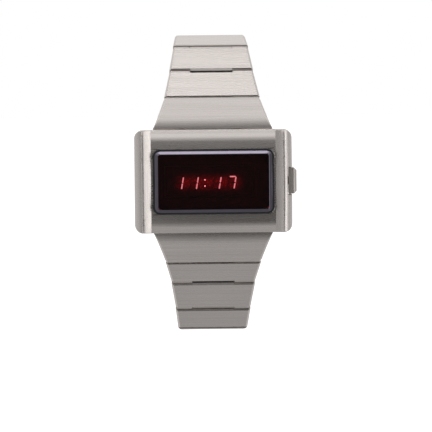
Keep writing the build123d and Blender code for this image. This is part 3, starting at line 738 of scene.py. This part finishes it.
# Studio: white floor and surroundings, a strip lamp overhead, and a light tent of white
# and grey panels that only reflections see. Lengths are in metres.
studio = {
    "fill": 0.75,  # the background's light on the watch, where 1 is what is seen of it
    "floor": "#F2F2F2",
    "floorRoughness": 0.9,
    "floorHalf": 4.0,
    "floorDrop": 0.06,  # the open bracelet hangs lower than the closed one
    "floorLift": 0.55,  # light that the paper adds where it is seen
    "tentRadius": 0.9,
    "tentGap": 0.0005,
    "tentStrength": 1.4,
}
white = (1.0, 1.0, 1.0, 1.0)
floorLevel = cadBox[0][2] - studio["floorDrop"]

# Greys of the tent: turns about the upright axis from the dial's axis towards +X, and
# elevations, in degrees. The band says where the turns count and not the elevations.
tentRound = [
    (-180, 0.80), (-120, 0.62), (-84, 0.52), (-68, 0.45), (-53, 0.30), (-42, 0.30),
    (-27, 0.58), (-14, 0.90), (-8, 0.05), (8, 0.05), (22, 0.20), (35, 1.4), (64, 1.4),
    (76, 0.40), (88, 0.42), (180, 0.80),
]
tentRise = [
    (-90, 0.44), (-72, 0.37), (-56, 0.50), (-42, 0.60), (30, 1.0), (50, 1.08), (60, 0.72),
    (69, 0.38), (77, 0.36), (90, 0.95),
]
tentBand = [(-46, 0.0), (-38, 1.0), (26, 1.0), (36, 0.0)]


def shownShare(tree):
    # 1 for rays that show the white background: straight, mirrored or through glass
    rays = addNode(tree, "ShaderNodeLightPath").outputs
    seen = addNode(
        tree, "ShaderNodeMath", {"operation": "MAXIMUM"},
        {0: rays["Is Camera Ray"], 1: rays["Is Glossy Ray"]},
    )
    return addNode(
        tree, "ShaderNodeMath", {"operation": "MAXIMUM"},
        {0: seen.outputs[0], 1: rays["Is Transmission Ray"]},
    ).outputs[0]


def litWorld():
    world = bpy.data.worlds.new("paleStudio")
    bpy.context.scene.world = world
    world.use_nodes = True
    tree = world.node_tree
    tree.nodes.clear()
    strength = addNode(
        tree, "ShaderNodeMapRange",
        inputs={"Value": shownShare(tree), "To Min": studio["fill"], "To Max": 1.0},
    )
    surroundings = addNode(
        tree, "ShaderNodeBackground", inputs={"Color": white, "Strength": strength.outputs[0]}
    )
    output = addNode(tree, "ShaderNodeOutputWorld")
    tree.links.new(surroundings.outputs[0], output.inputs["Surface"])


def layFloor():
    # White paper, lifted to pure white where it is seen, which still takes the shadow
    half = studio["floorHalf"]
    mesh = bpy.data.meshes.new("paleFloor")
    corners = [(-half, -half), (half, -half), (half, half), (-half, half)]
    mesh.from_pydata([(x, y, floorLevel) for x, y in corners], [], [(0, 1, 2, 3)])
    floor = bpy.data.objects.new("paleFloor", mesh)
    bpy.context.scene.collection.objects.link(floor)
    material, tree, output = startMaterial("whitePaper")[:3]
    lift = addNode(
        tree, "ShaderNodeMath", {"operation": "MULTIPLY"},
        {0: shownShare(tree), 1: studio["floorLift"]},
    )
    shader = addNode(
        tree, "ShaderNodeBsdfPrincipled",
        inputs={
            "Base Color": linearColour(studio["floor"]),
            "Roughness": studio["floorRoughness"],
            "Emission Color": white,
            "Emission Strength": lift.outputs[0],
        },
    )
    tree.links.new(shader.outputs[0], output.inputs["Surface"])
    mesh.materials.append(material)


def tentGrey(tree, angle, stops, reach, top=1.0):
    # Grey of the tent along one angle, from -reach to reach degrees, as a share of top
    share = addNode(
        tree, "ShaderNodeMapRange", inputs={"Value": angle, "From Min": -reach, "From Max": reach}
    )
    ramp = addNode(tree, "ShaderNodeValToRGB", inputs={"Fac": share.outputs[0]})
    elements = ramp.color_ramp.elements
    while len(elements) < len(stops):
        elements.new(1.0)
    for element, (place, grey) in zip(elements, stops):
        element.position = (place + reach) / (2 * reach)
        element.color = (grey / top, grey / top, grey / top, 1.0)
    return ramp.outputs["Color"]


def hangTent():
    # A ball of fabric round the watch, flattened just above the floor. Its panels are even
    # greys, which the brushed steel mirrors as soft bands.
    strength = studio["tentStrength"]
    work = bmesh.new()
    bmesh.ops.create_icosphere(work, subdivisions=5, radius=studio["tentRadius"])
    for point in work.verts:
        point.co.z = max(point.co.z, floorLevel + studio["tentGap"])
    mesh = bpy.data.meshes.new("lightTent")
    work.to_mesh(mesh)
    work.free()
    tent = bpy.data.objects.new("lightTent", mesh)
    tent.location = Vector((0.0, caseCentre.y, 0.0))
    bpy.context.scene.collection.objects.link(tent)
    material, tree, output, place = startMaterial("tentFabric")
    away = addNode(tree, "ShaderNodeVectorMath", {"operation": "NORMALIZE"}, {0: place})
    parts = addNode(tree, "ShaderNodeSeparateXYZ", inputs={0: away.outputs[0]}).outputs
    front = addNode(tree, "ShaderNodeMath", {"operation": "MULTIPLY"}, {0: parts["Y"], 1: -1.0})
    turn = addNode(
        tree, "ShaderNodeMath", {"operation": "ARCTAN2"}, {0: parts["X"], 1: front.outputs[0]}
    )
    rise = addNode(tree, "ShaderNodeMath", {"operation": "ARCSINE"}, {0: parts["Z"]})
    turnDegrees, riseDegrees = [
        addNode(
            tree, "ShaderNodeMath", {"operation": "MULTIPLY"},
            {0: angle.outputs[0], 1: math.degrees(1)},
        ).outputs[0]
        for angle in (turn, rise)
    ]
    around = tentGrey(tree, turnDegrees, tentRound, 180, strength)
    upward = tentGrey(tree, riseDegrees, tentRise, 90, strength)
    band = tentGrey(tree, riseDegrees, tentBand, 90)
    grey = addNode(
        tree, "ShaderNodeMix", {"data_type": "RGBA"}, {0: band, 6: upward, 7: around}
    )
    paint = addNode(
        tree, "ShaderNodeEmission", inputs={"Color": grey.outputs[2], "Strength": strength}
    )
    tree.links.new(paint.outputs[0], output.inputs["Surface"])
    mesh.materials.append(material)
    tent.visible_camera = False
    tent.visible_diffuse = False
    tent.visible_shadow = False
    tent.visible_volume_scatter = False


# A long narrow lamp overhead, which the upper links and the crystal's top bevel mirror
overheadStrip = {"place": (0.0, -0.14, 0.74), "size": (0.9, 0.066), "radiance": 2.2}


def hangStrip():
    light = bpy.data.lights.new("overheadStrip", "AREA")
    light.shape = "RECTANGLE"
    light.size, light.size_y = overheadStrip["size"]
    # The renderer spreads a lamp's power over four times its area
    light.energy = 4 * overheadStrip["radiance"] * light.size * light.size_y
    lamp = bpy.data.objects.new("overheadStrip", light)
    lamp.location = overheadStrip["place"]
    towards = caseCentre - Vector(overheadStrip["place"])
    lamp.rotation_euler = towards.to_track_quat("-Z", "Y").to_euler()
    bpy.context.scene.collection.objects.link(lamp)


litWorld()
layFloor()
hangTent()
hangStrip()
print("studio lit")

# Camera: a long lens close to the dial's axis and a little above it. Angles are in
# degrees, distance in metres, and the case's middle stands at casePixel in the frame.
viewing = {
    "azimuth": -1.2,
    "elevation": 2.7,
    "roll": -0.55,
    "distance": 0.950,
    "pixelsPerMm": 3.85,
    "casePixel": (213.4, 181.45),
    "frameSize": 432,
    "sensorWidth": 36.0,
    "nearest": 0.01,
}


def placeCamera():
    azimuth, elevation, roll = (
        math.radians(viewing[angle]) for angle in ("azimuth", "elevation", "roll")
    )
    away = Vector((
        math.sin(azimuth) * math.cos(elevation),
        -math.cos(azimuth) * math.cos(elevation),
        math.sin(elevation),
    ))
    right = Vector((math.cos(azimuth), math.sin(azimuth), 0.0))
    up = right.cross(-away)
    rolledRight = right * math.cos(roll) + up * math.sin(roll)
    rolledUp = up * math.cos(roll) - right * math.sin(roll)
    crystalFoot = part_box("crystal")[1].y
    target = Vector((0.0, crystalFoot, 0.0))
    middle = viewing["frameSize"] / 2
    step = mm / viewing["pixelsPerMm"]
    across, down = viewing["casePixel"]
    aim = target + rolledRight * (middle - across) * step - rolledUp * (middle - down) * step
    place = target + away * viewing["distance"]
    data = bpy.data.cameras.new("studioCamera")
    data.sensor_width = viewing["sensorWidth"]
    focal = viewing["distance"] / step
    data.lens = focal / viewing["frameSize"] * viewing["sensorWidth"]
    data.clip_start = viewing["nearest"]
    camera = bpy.data.objects.new("studioCamera", data)
    turn = (aim - place).to_track_quat("-Z", "Y").to_matrix().to_4x4()
    camera.matrix_world = Matrix.Translation(place) @ turn @ Matrix.Rotation(roll, 4, "Z")
    bpy.context.scene.collection.objects.link(camera)
    bpy.context.scene.camera = camera


placeCamera()
bpy.context.scene.view_settings.view_transform = "Standard"
print("camera placed")
